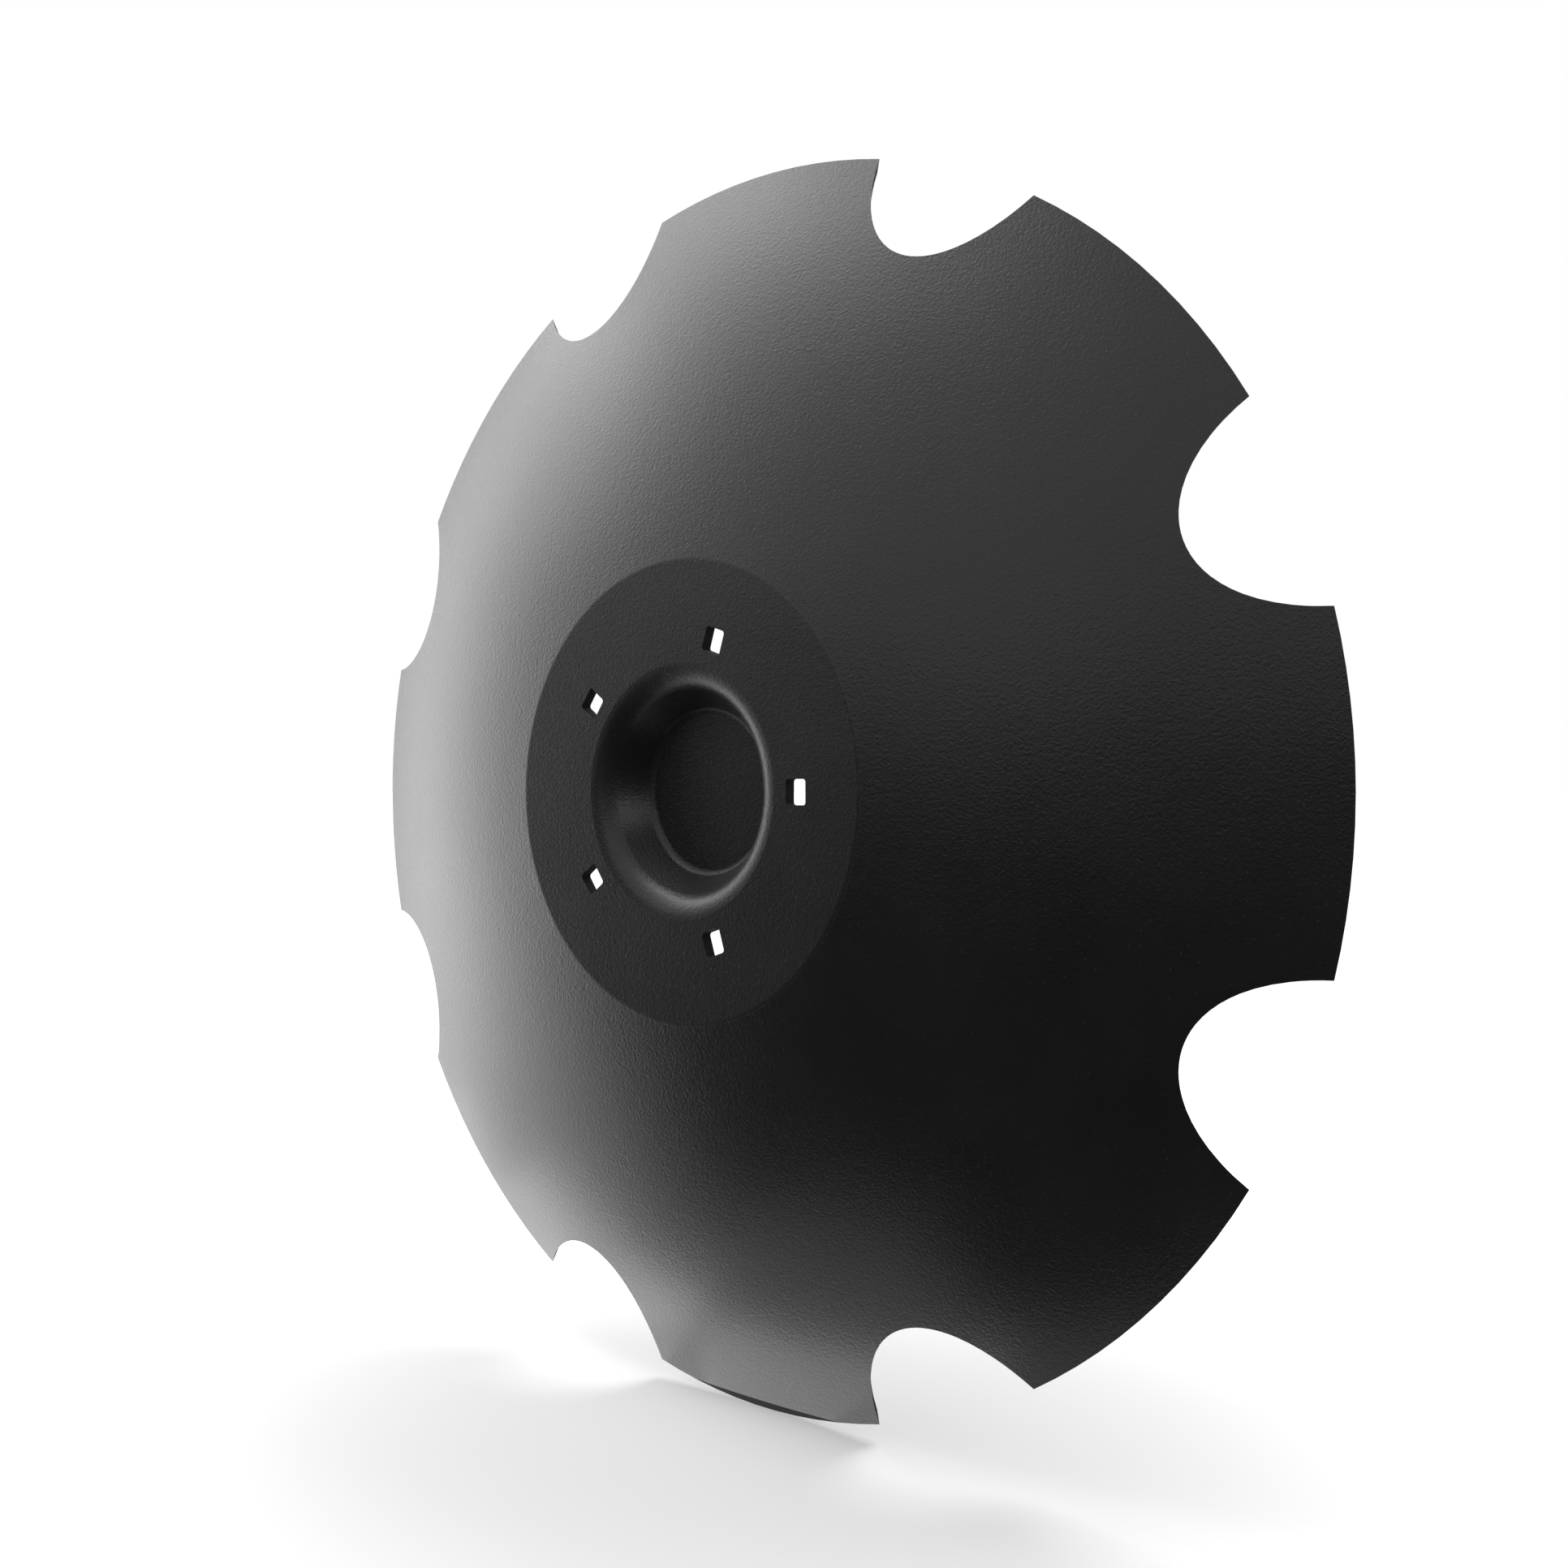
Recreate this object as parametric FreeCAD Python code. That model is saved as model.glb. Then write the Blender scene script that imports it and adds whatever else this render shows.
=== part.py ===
import FreeCAD, Part
import math
import os

# Notched concave disc blade for a tillage implement
# One pressed and hardened steel plate: a flat hub with square bolt holes and a blind dimple in
# its middle, and a spherical dish round it that ends in a notched rim with a ground edge.
# The disc axis is Y. The hub face of the convex side lies in the plane y = 0 and looks to -Y,
# the dish opens to +Y, and +Z is up. Points of the section are (radius, y). Angles round the
# axis go from +X towards +Z.

# Driving sizes, in millimetres and degrees

# Plate and dish, the dome radius being that of the convex face
plate_thickness = 6.35
rim_diameter = 660.4
dome_radius = 762.0

# Ground edge of rim and notches: the angle between the convex face and the bevel
edge_angle = 59.0

# Flat hub, up to its crease with the dish
hub_flat_diameter = 236.2
crease_inner_radius = 1.6

# Blind dimple: its lip starts where the hub stops being flat
dimple_lip_diameter = 131.0
dimple_lip_inner_radius = 8.65
dimple_wall_angle = 60.0
dimple_floor_inner_radius = 4.5
dimple_depth = 24.0

# Square bolt holes for carriage bolts
bolt_circle_diameter = 158.75
bolt_hole_count = 5
bolt_hole_side = 12.7
bolt_hole_corner_radius = 1.6
first_bolt_hole_angle = 0.0

# Notches, each one end of an ellipse: across the notch, and along the dish
notch_count = 8
notch_depth = 46.7
notch_half_width = 53.3
notch_half_length = 81.6
first_notch_angle = 22.5

# How far the shapes that cut the plate run clear of it
cut_overrun = 12.0

ORIGIN = FreeCAD.Vector(0, 0, 0)
DISC_AXIS = FreeCAD.Vector(0, 1, 0)
X_TOWARDS_Z = FreeCAD.Vector(0, -1, 0)
UP = FreeCAD.Vector(0, 0, 1)
FULL_TURN = 360.0

# Directions in the section plane, in degrees
TO_CONVEX_SIDE = -90.0
TO_CONCAVE_SIDE = 90.0


def section_point(radius, y):
    return FreeCAD.Vector(radius, y, 0)


def from_centre(centre, distance, direction):
    turn = math.radians(direction)
    return centre + section_point(distance * math.cos(turn), distance * math.sin(turn))


def round_the_axis(shape, count, first_angle):
    """Copies of a shape that stands at angle 0, evenly spaced round the disc axis."""
    copies = []
    for index in range(count):
        copy = shape.copy()
        copy.rotate(ORIGIN, X_TOWARDS_Z, first_angle + index * FULL_TURN / count)
        copies.append(copy)
    return copies


# Dish: both faces of the plate are spheres about one centre on the disc axis
rim_radius = rim_diameter / 2
hub_flat_radius = hub_flat_diameter / 2
concave_dome_radius = dome_radius - plate_thickness
dome_centre = section_point(0, math.sqrt(dome_radius ** 2 - hub_flat_radius ** 2))


def dome_tilt(radius):
    """How far the plate leans over at a radius from the disc axis."""
    return math.degrees(math.asin(radius / dome_radius))


def dome_point(radius):
    """The point of the convex face at a radius from the disc axis."""
    return from_centre(dome_centre, dome_radius, TO_CONVEX_SIDE + dome_tilt(radius))


# Crease between hub and dish: a small bend that touches the hub plane and the dome
crease_radius = crease_inner_radius + plate_thickness
crease_centre = section_point(
    math.sqrt((dome_radius - crease_radius) ** 2 - (dome_centre.y - crease_radius) ** 2),
    crease_radius,
)
crease_angle = math.degrees(math.asin(crease_centre.x / (dome_radius - crease_radius)))
crease_end_direction = TO_CONVEX_SIDE + crease_angle

# Dimple: a rolled lip, a sloping wall and a small bend into the floor, each tangent to the next
lip_radius = dimple_lip_inner_radius + plate_thickness
lip_centre = section_point(dimple_lip_diameter / 2, lip_radius)
lip_wall_direction = TO_CONVEX_SIDE - dimple_wall_angle
floor_wall_direction = TO_CONCAVE_SIDE - dimple_wall_angle
bend_share = 1 - math.cos(math.radians(dimple_wall_angle))
wall_height = dimple_depth - (lip_radius + dimple_floor_inner_radius) * bend_share
wall_run = wall_height / math.tan(math.radians(dimple_wall_angle))
wall_top = from_centre(lip_centre, lip_radius, lip_wall_direction)
wall_foot = wall_top + section_point(-wall_run, wall_height)
floor_bend_centre = from_centre(wall_foot, -dimple_floor_inner_radius, floor_wall_direction)

# Ground edge: the bevel takes the whole thickness, so it meets the convex face in a sharp edge
bevel_lean = 90.0 - edge_angle
rim_edge = dome_point(rim_radius)
bevel_cone_angle = dome_tilt(rim_radius) + bevel_lean
bevel_cone_height = rim_radius / math.tan(math.radians(bevel_cone_angle))


def hub_outline(depth):
    """Edges of one face of the hub in section, from the disc axis out to the end of the crease.

    The depth is measured from the convex face into the plate. Each bend has one centre for both
    faces, so the plate is as thick in its bends as in its flats.
    """
    bends = [
        (floor_bend_centre, dimple_floor_inner_radius + depth, TO_CONCAVE_SIDE, floor_wall_direction),
        (lip_centre, lip_radius - depth, lip_wall_direction, TO_CONVEX_SIDE),
        (crease_centre, crease_radius - depth, TO_CONVEX_SIDE, crease_end_direction),
    ]
    edges = []
    here = section_point(0, dimple_depth + depth)
    for centre, radius, start, end in bends:
        bend_start = from_centre(centre, radius, start)
        bend_middle = from_centre(centre, radius, (start + end) / 2)
        bend_end = from_centre(centre, radius, end)
        edges.append(Part.LineSegment(here, bend_start).toShape())
        edges.append(Part.Arc(bend_start, bend_middle, bend_end).toShape())
        here = bend_end
    return edges


def hub():
    """The flat of the plate with its dimple and its crease, spun from its section."""
    floor_face = section_point(0, dimple_depth)
    floor_back = section_point(0, dimple_depth + plate_thickness)
    on_axis = Part.LineSegment(floor_back, floor_face).toShape()
    crease_end = from_centre(dome_centre, dome_radius, crease_end_direction)
    crease_end_back = from_centre(dome_centre, concave_dome_radius, crease_end_direction)
    to_dish = Part.LineSegment(crease_end, crease_end_back).toShape()
    convex_face = hub_outline(0)
    concave_face = hub_outline(plate_thickness)
    section = Part.Wire(convex_face + [to_dish] + concave_face[::-1] + [on_axis])
    return Part.Face(section).revolve(ORIGIN, DISC_AXIS, FULL_TURN)


def cone_to_convex_side(apex_height, half_angle):
    """A solid cone about the disc axis that opens towards the convex side and ends clear of it."""
    foot_radius = (apex_height + cut_overrun) * math.tan(math.radians(half_angle))
    apex = section_point(0, apex_height)
    foot = section_point(0, -cut_overrun)
    foot_edge = section_point(foot_radius, -cut_overrun)
    half_section = Part.Face(Part.makePolygon([apex, foot, foot_edge, apex]))
    return half_section.revolve(ORIGIN, DISC_AXIS, FULL_TURN)


def dish():
    """The shell between two spheres, from the end of the crease out to the ground edge."""
    convex_ball = Part.makeSphere(dome_radius, dome_centre, UP)
    concave_ball = Part.makeSphere(concave_dome_radius, dome_centre, UP)
    inside_bevel = cone_to_convex_side(rim_edge.y + bevel_cone_height, bevel_cone_angle)
    inside_crease = cone_to_convex_side(dome_centre.y, crease_angle)
    return convex_ball.cut(concave_ball).common(inside_bevel).cut(inside_crease)


def bolt_hole_punch():
    """A square punch with rounded corners, two of its sides square to the radius."""
    corner = FreeCAD.Vector(
        bolt_circle_diameter / 2 - bolt_hole_side / 2, -cut_overrun, -bolt_hole_side / 2
    )
    length = plate_thickness + 2 * cut_overrun
    punch = Part.makeBox(bolt_hole_side, length, bolt_hole_side, corner)
    corner_edges = [edge for edge in punch.Edges if math.isclose(abs(edge.Curve.Direction.y), 1)]
    return punch.makeFillet(bolt_hole_corner_radius, corner_edges)


def notch_punch():
    """An elliptical punch that stands square on the dish at the notch root.

    It widens towards the concave side by the lean of the bevel, so the notch gets the same
    ground edge as the rim.
    """
    root = dome_point(rim_radius - notch_depth)
    into_plate = (dome_centre - root).normalize()
    outward = into_plate.cross(UP)
    middle = root + outward * notch_half_length
    ends = []
    for depth in (-cut_overrun, plate_thickness + cut_overrun):
        growth = depth * math.tan(math.radians(bevel_lean))
        centre = middle + into_plate * depth
        along = centre + outward * (notch_half_length + growth)
        across = centre + UP * (notch_half_width + growth)
        ends.append(Part.Wire(Part.Ellipse(along, across, centre).toShape()))
    return Part.makeLoft(ends, True, True)


def disc_blade():
    punches = round_the_axis(bolt_hole_punch(), bolt_hole_count, first_bolt_hole_angle)
    punches += round_the_axis(notch_punch(), notch_count, first_notch_angle)
    return hub().fuse(dish()).cut(punches)


os.makedirs("parts", exist_ok=True)
disc_blade().exportStep("parts/disc_blade.step")
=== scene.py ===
import math

import bpy
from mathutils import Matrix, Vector


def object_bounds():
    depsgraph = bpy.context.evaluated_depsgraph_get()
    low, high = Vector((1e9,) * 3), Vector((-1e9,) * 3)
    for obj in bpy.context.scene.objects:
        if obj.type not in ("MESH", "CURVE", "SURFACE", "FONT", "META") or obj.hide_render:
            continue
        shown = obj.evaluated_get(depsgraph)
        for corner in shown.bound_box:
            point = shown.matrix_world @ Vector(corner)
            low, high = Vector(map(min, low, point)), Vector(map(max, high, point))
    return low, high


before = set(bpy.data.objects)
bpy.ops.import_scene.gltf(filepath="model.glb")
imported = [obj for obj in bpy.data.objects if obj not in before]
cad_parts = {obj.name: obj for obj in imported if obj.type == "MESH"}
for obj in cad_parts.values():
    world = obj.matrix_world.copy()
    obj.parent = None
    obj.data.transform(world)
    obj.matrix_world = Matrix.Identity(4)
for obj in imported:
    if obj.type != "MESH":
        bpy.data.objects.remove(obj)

cad_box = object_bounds()

# Lengths are in metres and angles in degrees. An azimuth of 0 is -Y, and one of 90 is +X.

# Camera: level, turned round the blade and a little to its right, as in the photograph.
# The lens and the sensor are in millimetres.
CAMERA_AZIMUTH = 41.552
CAMERA_DISTANCE = 0.9161
CAMERA_ASIDE = 0.0540
CAMERA_HEIGHT = 0.0039
CAMERA_LENS = 41.376
CAMERA_REACH = 240.0
SENSOR_WIDTH = 36.0

# Plate: the same sizes as the CAD model's
DOME_RADIUS = 0.762
HUB_FLAT_RADIUS = 0.1181
DOME_CENTRE = (0, math.sqrt(DOME_RADIUS ** 2 - HUB_FLAT_RADIUS ** 2), 0)
PLATE_THICKNESS = 0.00635
BOLT_CIRCLE_RADIUS = 0.079375
BOLT_COUNT = 5
BOLT_HOLE_SIDE = 0.0127

# Where the finish changes: outside the crease, below the sharp edge, and beside the other corners
HUB_FINISH_RADIUS = 0.1195
EDGE_MARGIN = 0.0008
CORNER_MARGIN = 0.0003
MARGIN_SOFTNESS = 0.0002
HOLE_WALL_REACH = BOLT_HOLE_SIDE / 2 + CORNER_MARGIN

# Paint: satin black, with a slow change of shade and gloss, and a finer one of gloss alone.
# All texture scales are in cells per metre.
PAINT_BLACK = (0.012, 0.012, 0.012)
PAINT_ROUGHNESS = 0.36
PAINT_SPECULAR = 0.4
PAINT_IOR = 1.5
CLOUD_SCALE = 22.0
CLOUD_DETAIL = 2.0
CLOUD_ROUGHNESS = 0.006
CLOUD_SHADES = (0.85, 1.15)
FILM_SCALE = 260.0
FILM_DETAIL = 3.0
FILM_ROUGHNESS = 0.004

# Orange peel: drawn out along one level direction, and a little lower on the hub
PEEL_SCALE = 720.0
PEEL_DETAIL = 1.5
PEEL_DISTORTION = 0.6
PEEL_HEIGHT = 0.00022
PEEL_AZIMUTH = 41.5
PEEL_STRETCH = 1.7
HUB_PEEL_SHARE = 0.75

# Dust nibs: real bumps, whose lighter colour is a painted glint
SPECK_SCALE = 225.0
SPECK_RADIUS = 0.0005
SPECK_HEIGHT = 0.00006
SPECK_GLINT_COLOUR = (0.06, 0.06, 0.06, 1)

# Ground edge with its grinding lines, and the walls of the punched holes, whose darker black is
# painted shade
EDGE_ROUGHNESS = 0.4
GRINDING_SCALE = 2500.0
GRINDING_DETAIL = 3.0
GRINDING_HEIGHT = 0.00004
HOLE_ROUGHNESS = 0.95
HOLE_SHADE_BLACK = (0.003, 0.003, 0.003, 1)

# The range that nearly all values of a noise texture lie in
NOISE_RANGE = (0.3, 0.7)

# Floor: pale and matt round the foot of the blade, and white further away, as the background is
FLOOR_HEIGHT = cad_box[0].z
FLOOR_HALF_SIZE = 60.0
FLOOR_COLOUR = (0.8, 0.8, 0.8, 1)
FOOT_OF_BLADE = (0, 0.06, FLOOR_HEIGHT)
PALE_FLOOR_RADIUS = 0.1
WHITE_FLOOR_RADIUS = 0.7
FOOT_GLOW = 0.3

# Black cloth round the blade, each sheet between two azimuths: flags that stand, a canopy that
# leans in high over the side flag, and mats just above the floor. Heights are above the floor.
CLOTH_COLOUR = (0.05, 0.05, 0.05, 1)
CLOTH_RADIUS = 1.5
CLOTH_STEPS = 24
FLAG_HEIGHT = 0.6
FRONT_FLAG_AZIMUTHS = (-58.0, 62.0)
BACK_FLAG_AZIMUTHS = (112.0, 240.0)
SIDE_FLAG_AZIMUTHS = (62.0, 112.0)
SIDE_FLAG_HEIGHT = 0.49
CANOPY_LOW_HEIGHT = 1.5
CANOPY_HIGH_HEIGHT = 2.0
CANOPY_HIGH_RADIUS = 0.7
EDGE_FLAG_AZIMUTHS = (175.0, 245.0)
EDGE_FLAG_TOP = 1.6
MAT_RISE = 0.002
BLACK_MAT_AZIMUTHS = (-63.0, 88.0)
BLACK_MAT_INNER_RADIUS = 0.115
EDGE_MAT_AZIMUTHS = (125.0, 245.0)
EDGE_MAT_INNER_RADIUS = 0.08
EDGE_MAT_OUTER_RADIUS = 0.4

# Surroundings: white to look at, and a weak fill for what they light
WHITE = (1, 1, 1, 1)
WHITE_STRENGTH = 1.0
FILL_STRENGTH = 0.25

# Soft boxes that stand or lie on the floor
WALL_PANEL_DISTANCE = 1.3
WALL_PANEL_WIDTH = 0.34
WALL_PANEL_HEIGHT = 1.4
FLOOR_PANEL_RISE = 0.004


def direction(azimuth, elevation):
    """Unit vector from the blade towards an azimuth and an elevation."""
    turn, rise = math.radians(azimuth), math.radians(elevation)
    return Vector(
        (math.sin(turn) * math.cos(rise), -math.cos(turn) * math.cos(rise), math.sin(rise))
    )


def make_camera():
    data = bpy.data.cameras.new("camera")
    data.sensor_fit = "HORIZONTAL"
    data.sensor_width = SENSOR_WIDTH
    data.lens = CAMERA_LENS
    data.clip_end = CAMERA_REACH
    camera = bpy.data.objects.new("camera", data)
    aside = direction(CAMERA_AZIMUTH + 90, 0) * CAMERA_ASIDE
    camera.location = direction(CAMERA_AZIMUTH, 0) * CAMERA_DISTANCE + aside
    camera.location.z = CAMERA_HEIGHT
    camera.rotation_euler = (math.pi / 2, 0, math.radians(CAMERA_AZIMUTH))
    bpy.context.collection.objects.link(camera)
    bpy.context.scene.camera = camera


class Nodes:
    """A small helper that adds and links the nodes of one tree."""

    def __init__(self, tree):
        self.tree = tree
        tree.nodes.clear()

    def add(self, kind, inputs=None, **settings):
        """A new node with its settings, where each input gets a value or a link."""
        node = self.tree.nodes.new(kind)
        for name, value in settings.items():
            setattr(node, name, value)
        for name, value in (inputs or {}).items():
            if isinstance(value, bpy.types.NodeSocket):
                self.tree.links.new(value, node.inputs[name])
            else:
                node.inputs[name].default_value = value
        return node

    def math(self, operation, a, b=0.0):
        return self.add("ShaderNodeMath", {0: a, 1: b}, operation=operation).outputs[0]

    def distance(self, a, b):
        node = self.add("ShaderNodeVectorMath", {0: a, 1: b}, operation="DISTANCE")
        return node.outputs["Value"]

    def noise(self, place, scale, detail, distortion=0.0):
        return self.add(
            "ShaderNodeTexNoise",
            {"Vector": place, "Scale": scale, "Detail": detail, "Distortion": distortion},
        ).outputs[0]

    def ramp(self, value, start, end, first=0.0, last=1.0, **settings):
        """Goes from first to last as a value goes from start to end, and stays level past them."""
        return self.add(
            "ShaderNodeMapRange",
            {"Value": value, "From Min": start, "From Max": end, "To Min": first, "To Max": last},
            **settings,
        ).outputs["Result"]

    def spread(self, noise, low, high):
        """A noise value, which stays near its middle, spread over a range."""
        return self.ramp(noise, *NOISE_RANGE, low, high)

    def blend(self, factor, a, b, kind="FLOAT"):
        """From a to b as the factor goes from 0 to 1. Colours need the kind RGBA."""
        inputs = {"Factor": factor, "A": a, "B": b}
        return self.add("ShaderNodeMix", inputs, data_type=kind).outputs["Result"]


def new_material(name):
    """A material, and the helper that fills its empty node tree."""
    material = bpy.data.materials.new(name)
    material.use_nodes = True
    return material, Nodes(material.node_tree)


def seen_directly(nodes):
    """1 for rays from the camera and for those mirrored or let through to it, otherwise 0."""
    path = nodes.add("ShaderNodeLightPath").outputs
    seen = nodes.math("MAXIMUM", path["Is Camera Ray"], path["Is Glossy Ray"])
    return nodes.math("MAXIMUM", seen, path["Is Transmission Ray"])


def distance_from_axis(nodes, place):
    across = nodes.add("ShaderNodeVectorMath", {0: place, 1: (1, 0, 1)}, operation="MULTIPLY")
    length = nodes.add("ShaderNodeVectorMath", {0: across.outputs[0]}, operation="LENGTH")
    return length.outputs["Value"]


def band(nodes, value, low, high):
    """1 where a value lies between two bounds, with soft ends outside them."""
    above = nodes.ramp(value, low - MARGIN_SOFTNESS, low)
    below = nodes.ramp(value, high, high + MARGIN_SOFTNESS, 1.0, 0.0)
    return nodes.math("MULTIPLY", above, below)


def ground_edge(nodes, place, from_axis):
    """The depth below the convex face, and 1 on the ground edge of the rim and the notches."""
    depth = nodes.math("SUBTRACT", DOME_RADIUS, nodes.distance(place, DOME_CENTRE))
    inside_plate = band(nodes, depth, EDGE_MARGIN, PLATE_THICKNESS - CORNER_MARGIN)
    outside_hub = nodes.math("GREATER_THAN", from_axis, HUB_FINISH_RADIUS)
    return depth, nodes.math("MULTIPLY", inside_plate, outside_hub)


def bolt_hole_walls(nodes, place, from_axis):
    """1 on the walls of the square holes, whose pattern is folded onto the first hole."""
    parts = nodes.add("ShaderNodeSeparateXYZ", {"Vector": place}).outputs
    turn = nodes.math("ARCTAN2", parts["Z"], parts["X"])
    sector = 2 * math.pi / BOLT_COUNT
    whole_sectors = nodes.math("ROUND", nodes.math("DIVIDE", turn, sector))
    turn = nodes.math("SUBTRACT", turn, nodes.math("MULTIPLY", whole_sectors, sector))
    out = nodes.math("MULTIPLY", from_axis, nodes.math("COSINE", turn))
    out = nodes.math("ABSOLUTE", nodes.math("SUBTRACT", out, BOLT_CIRCLE_RADIUS))
    aside = nodes.math("ABSOLUTE", nodes.math("MULTIPLY", from_axis, nodes.math("SINE", turn)))
    in_square = nodes.math("LESS_THAN", nodes.math("MAXIMUM", out, aside), HOLE_WALL_REACH)
    between_faces = band(nodes, parts["Y"], CORNER_MARGIN, PLATE_THICKNESS - CORNER_MARGIN)
    return nodes.math("MULTIPLY", in_square, between_faces)


def dust_specks(nodes, place):
    """From 0 to 1 over small nibs of dust under the paint, as spheres that the surface cuts."""
    cells = nodes.add("ShaderNodeTexVoronoi", {"Vector": place, "Scale": SPECK_SCALE})
    return nodes.ramp(cells.outputs["Distance"], 0.0, SPECK_RADIUS * SPECK_SCALE, 1.0, 0.0)


def orange_peel(nodes, place, from_axis, in_hole):
    """The height of the peel, which the walls of the holes don't have."""
    drawn_out = nodes.add(
        "ShaderNodeMapping",
        {
            "Vector": place,
            "Rotation": (0, 0, math.radians(PEEL_AZIMUTH)),
            "Scale": (1, PEEL_STRETCH, 1),
        },
        vector_type="TEXTURE",
    ).outputs[0]
    peel = nodes.noise(drawn_out, PEEL_SCALE, PEEL_DETAIL, PEEL_DISTORTION)
    on_hub = nodes.math("LESS_THAN", from_axis, HUB_FINISH_RADIUS)
    share = nodes.blend(on_hub, 1.0, HUB_PEEL_SHARE)
    share = nodes.blend(in_hole, share, 0.0)
    return nodes.math("MULTIPLY", nodes.math("MULTIPLY", peel, share), PEEL_HEIGHT)


def grinding_lines(nodes, depth, on_edge):
    """The height of the fine lines that grinding leaves along the edge."""
    lines = nodes.add(
        "ShaderNodeTexNoise",
        {"W": depth, "Scale": GRINDING_SCALE, "Detail": GRINDING_DETAIL},
        noise_dimensions="1D",
    ).outputs[0]
    return nodes.math("MULTIPLY", nodes.math("MULTIPLY", lines, on_edge), GRINDING_HEIGHT)


def surface_roughness(nodes, place, cloud, on_edge, in_hole):
    lowest, highest = PAINT_ROUGHNESS - CLOUD_ROUGHNESS, PAINT_ROUGHNESS + CLOUD_ROUGHNESS
    film = nodes.noise(place, FILM_SCALE, FILM_DETAIL)
    film_part = nodes.spread(film, -FILM_ROUGHNESS, FILM_ROUGHNESS)
    paint = nodes.math("ADD", nodes.spread(cloud, lowest, highest), film_part)
    with_edge = nodes.blend(on_edge, paint, EDGE_ROUGHNESS)
    return nodes.blend(in_hole, with_edge, HOLE_ROUGHNESS)


def surface_colour(nodes, cloud, specks, in_hole):
    shade = nodes.spread(cloud, *CLOUD_SHADES)
    inputs = {0: PAINT_BLACK, "Scale": shade}
    paint = nodes.add("ShaderNodeVectorMath", inputs, operation="SCALE").outputs[0]
    # The dust nibs' lighter colour is a painted glint; their bump is real
    with_glints = nodes.blend(specks, paint, SPECK_GLINT_COLOUR, "RGBA")
    # The hole walls' darker black is painted shade in the recess
    return nodes.blend(in_hole, with_glints, HOLE_SHADE_BLACK, "RGBA")


def painted_steel():
    """Satin black paint with a fine orange peel and dust nibs, over ground edges and punched holes.
    The nibs' lighter colour is a painted glint, and the holes' darker black is painted shade.
    """
    material, nodes = new_material("painted_steel")
    place = nodes.add("ShaderNodeTexCoord").outputs["Object"]
    from_axis = distance_from_axis(nodes, place)
    depth, on_edge = ground_edge(nodes, place, from_axis)
    in_hole = bolt_hole_walls(nodes, place, from_axis)
    specks = dust_specks(nodes, place)
    cloud = nodes.noise(place, CLOUD_SCALE, CLOUD_DETAIL)

    peel_height = orange_peel(nodes, place, from_axis, in_hole)
    speck_height = nodes.math("MULTIPLY", specks, SPECK_HEIGHT)
    line_height = grinding_lines(nodes, depth, on_edge)
    height = nodes.math("ADD", nodes.math("ADD", peel_height, speck_height), line_height)
    bump = nodes.add("ShaderNodeBump", {"Height": height, "Strength": 1.0, "Distance": 1.0})

    shader = nodes.add(
        "ShaderNodeBsdfPrincipled",
        {
            "Base Color": surface_colour(nodes, cloud, specks, in_hole),
            "Roughness": surface_roughness(nodes, place, cloud, on_edge, in_hole),
            "IOR": PAINT_IOR,
            "Specular IOR Level": PAINT_SPECULAR,
            "Normal": bump.outputs["Normal"],
        },
    )
    nodes.add("ShaderNodeOutputMaterial", {"Surface": shader.outputs["BSDF"]})
    return material


def dress_blade():
    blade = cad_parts["disc_blade"]
    blade.data.materials.clear()
    blade.data.materials.append(painted_steel())


def floor_material():
    """Matt and pale, with a glow that only the camera and mirrored rays see, white from afar."""
    material, nodes = new_material("floor")
    matt = nodes.add("ShaderNodeBsdfDiffuse", {"Color": FLOOR_COLOUR})
    place = nodes.add("ShaderNodeNewGeometry").outputs["Position"]
    whiteness = nodes.ramp(
        nodes.distance(place, FOOT_OF_BLADE),
        PALE_FLOOR_RADIUS,
        WHITE_FLOOR_RADIUS,
        FOOT_GLOW,
        interpolation_type="SMOOTHSTEP",
    )
    strength = nodes.math("MULTIPLY", seen_directly(nodes), whiteness)
    glow = nodes.add("ShaderNodeEmission", {"Strength": strength})
    both = nodes.add("ShaderNodeAddShader", {0: matt.outputs[0], 1: glow.outputs[0]})
    nodes.add("ShaderNodeOutputMaterial", {"Surface": both.outputs[0]})
    return material


def make_floor():
    side = FLOOR_HALF_SIZE
    corners = [(-side, -side), (side, -side), (side, side), (-side, side)]
    mesh = bpy.data.meshes.new("floor")
    mesh.from_pydata([(x, y, FLOOR_HEIGHT) for x, y in corners], [], [(0, 1, 2, 3)])
    mesh.materials.append(floor_material())
    floor = bpy.data.objects.new("floor", mesh)
    bpy.context.collection.objects.link(floor)


def black_cloth():
    material, nodes = new_material("black_cloth")
    cloth = nodes.add("ShaderNodeBsdfDiffuse", {"Color": CLOTH_COLOUR})
    nodes.add("ShaderNodeOutputMaterial", {"Surface": cloth.outputs[0]})
    return material


def cloth_screen(name, cloth, azimuths, low_edge, high_edge):
    """A screen of cloth, swept round the blade between two edges, each a radius and a height.

    The camera looks through it. It keeps the white surroundings out of the paint where the
    photograph shows it nearly black.
    """
    start, end = azimuths
    corners = []
    for step in range(CLOTH_STEPS + 1):
        outwards = direction(start + (end - start) * step / CLOTH_STEPS, 0)
        for radius, height in (low_edge, high_edge):
            corner = outwards * radius
            corners.append((corner.x, corner.y, FLOOR_HEIGHT + height))
    faces = [(2 * i, 2 * i + 2, 2 * i + 3, 2 * i + 1) for i in range(CLOTH_STEPS)]
    mesh = bpy.data.meshes.new(name)
    mesh.from_pydata(corners, [], faces)
    mesh.materials.append(cloth)
    screen = bpy.data.objects.new(name, mesh)
    screen.visible_camera = False
    bpy.context.collection.objects.link(screen)
    return screen


def flag(name, cloth, azimuths, foot, top):
    """A screen that stands upright between two heights."""
    cloth_screen(name, cloth, azimuths, (CLOTH_RADIUS, foot), (CLOTH_RADIUS, top))


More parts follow.
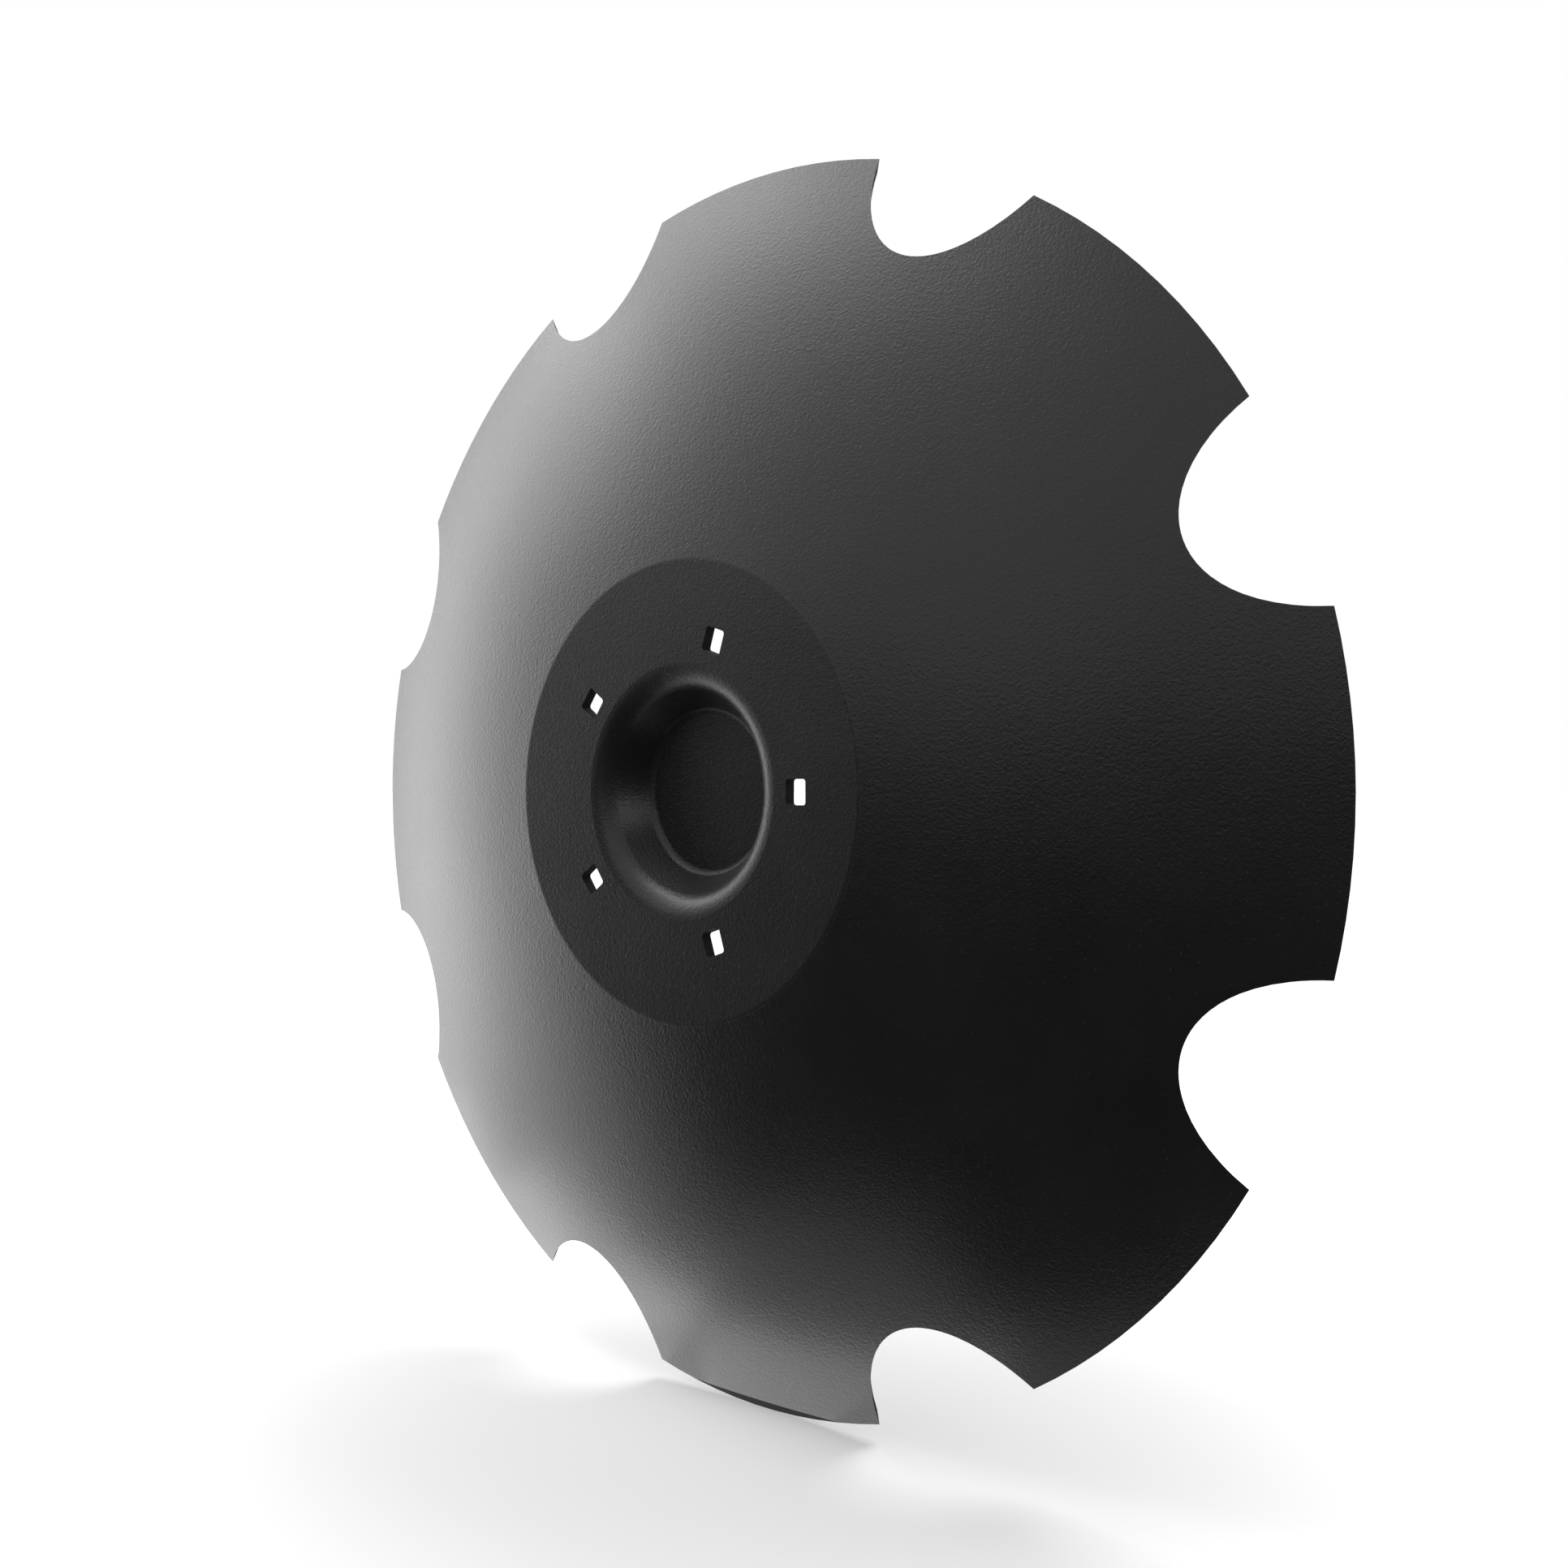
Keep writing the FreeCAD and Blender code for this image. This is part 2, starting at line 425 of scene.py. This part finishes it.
def mat(name, cloth, azimuths, inner_radius, outer_radius):
    """A screen just above the floor that shows only in the paint, so the floor stays pale."""
    sheet = cloth_screen(name, cloth, azimuths, (inner_radius, MAT_RISE), (outer_radius, MAT_RISE))
    sheet.visible_shadow = False
    sheet.visible_diffuse = False


def make_black_cloths():
    cloth = black_cloth()
    flag("front_flag", cloth, FRONT_FLAG_AZIMUTHS, 0, FLAG_HEIGHT)
    flag("back_flag", cloth, BACK_FLAG_AZIMUTHS, 0, FLAG_HEIGHT)
    flag("side_flag", cloth, SIDE_FLAG_AZIMUTHS, 0, SIDE_FLAG_HEIGHT)
    flag("edge_flag", cloth, EDGE_FLAG_AZIMUTHS, FLAG_HEIGHT, EDGE_FLAG_TOP)
    canopy_low_edge = (CLOTH_RADIUS, CANOPY_LOW_HEIGHT)
    canopy_high_edge = (CANOPY_HIGH_RADIUS, CANOPY_HIGH_HEIGHT)
    cloth_screen("side_canopy", cloth, SIDE_FLAG_AZIMUTHS, canopy_low_edge, canopy_high_edge)
    mat("black_mat", cloth, BLACK_MAT_AZIMUTHS, BLACK_MAT_INNER_RADIUS, CLOTH_RADIUS)
    mat("edge_mat", cloth, EDGE_MAT_AZIMUTHS, EDGE_MAT_INNER_RADIUS, EDGE_MAT_OUTER_RADIUS)


def make_world():
    world = bpy.data.worlds.new("world")
    bpy.context.scene.world = world
    world.use_nodes = True
    nodes = Nodes(world.node_tree)
    fill = nodes.add("ShaderNodeBackground", {"Color": WHITE, "Strength": FILL_STRENGTH})
    white = nodes.add("ShaderNodeBackground", {"Color": WHITE, "Strength": WHITE_STRENGTH})
    mixed = nodes.add(
        "ShaderNodeMixShader",
        {0: seen_directly(nodes), 1: fill.outputs[0], 2: white.outputs[0]},
    )
    nodes.add("ShaderNodeOutputWorld", {"Surface": mixed.outputs[0]})


def area_lamp(name, place, faces, width, height, radiance):
    """An area lamp of one radiance, on a scale where a white sheet in full light has 1."""
    data = bpy.data.lights.new(name, "AREA")
    data.shape = "RECTANGLE"
    data.size = width
    data.size_y = height
    # A flat lamp that sends its light out evenly has a power of pi times radiance times area
    data.energy = radiance * width * height * math.pi
    lamp = bpy.data.objects.new(name, data)
    lamp.location = place
    lamp.rotation_euler = faces.to_track_quat("-Z", "Y").to_euler()
    lamp.visible_camera = False
    bpy.context.collection.objects.link(lamp)


def soft_box(name, azimuth, elevation, distance, side, radiance):
    """A square soft box on a stand, aimed at the blade."""
    away = direction(azimuth, elevation)
    area_lamp(name, away * distance, -away, side, side, radiance)


def wall_panel(name, azimuth, radiance):
    """A tall soft box that stands on the floor."""
    away = direction(azimuth, 0)
    place = away * WALL_PANEL_DISTANCE
    place.z = FLOOR_HEIGHT + WALL_PANEL_HEIGHT / 2
    area_lamp(name, place, -away, WALL_PANEL_WIDTH, WALL_PANEL_HEIGHT, radiance)


def floor_panel(name, left, right, front, back, radiance):
    """A flat soft box on the floor that lights the left and the foot of the blade from below."""
    place = Vector(((left + right) / 2, (front + back) / 2, FLOOR_HEIGHT + FLOOR_PANEL_RISE))
    area_lamp(name, place, Vector((0, 0, 1)), right - left, back - front, radiance)


def light_studio():
    wall_panel("left_back_wall", azimuth=-90, radiance=3.83)
    wall_panel("left_front_wall", azimuth=-75, radiance=1.52)

    soft_box("left_middle", azimuth=-70, elevation=30, distance=1.5, side=0.4, radiance=2.23)
    soft_box("left_front_high", azimuth=-60, elevation=48, distance=1.5, side=0.65, radiance=0.85)
    soft_box("left_back_high", azimuth=-85, elevation=48, distance=1.5, side=0.65, radiance=3.16)
    soft_box("left_top", azimuth=-72, elevation=62, distance=1.5, side=0.45, radiance=3.29)
    soft_box("left_front_top", azimuth=-40, elevation=66, distance=1.5, side=0.4, radiance=3.8)
    soft_box("front_top", azimuth=-15, elevation=60, distance=1.6, side=0.7, radiance=0.42)
    soft_box("front_low", azimuth=0, elevation=12, distance=1.3, side=0.4, radiance=0.64)
    soft_box("right_low", azimuth=80, elevation=21, distance=1.4, side=0.45, radiance=3.0)
    soft_box("behind", azimuth=180, elevation=58, distance=1.9, side=1.2, radiance=4.0)

    # The floor panels lie side by side, from far on the left to the foot of the blade
    far, middle, near, nearest, foot, end = -1.3, -0.7, -0.4, -0.2, -0.08, 0.14
    split = 0.1
    floor_panel("floor_panel_far_front", far, middle, front=-0.15, back=split, radiance=1.46)
    floor_panel("floor_panel_far_back", far, middle, front=split, back=0.3, radiance=0.56)
    floor_panel("floor_panel_middle_front", middle, near, front=-0.1, back=split, radiance=0.43)
    floor_panel("floor_panel_middle_back", middle, near, front=split, back=0.3, radiance=1.81)
    floor_panel("floor_panel_near", near, nearest, front=0.0, back=split, radiance=2.33)
    floor_panel("floor_panel_nearest", nearest, foot, front=0.01, back=split, radiance=2.7)
    floor_panel("floor_panel_foot", foot, end, front=0.02, back=0.07, radiance=2.1)


make_camera()
dress_blade()
make_floor()
make_black_cloths()
make_world()
light_studio()
bpy.context.scene.view_settings.view_transform = "Standard"
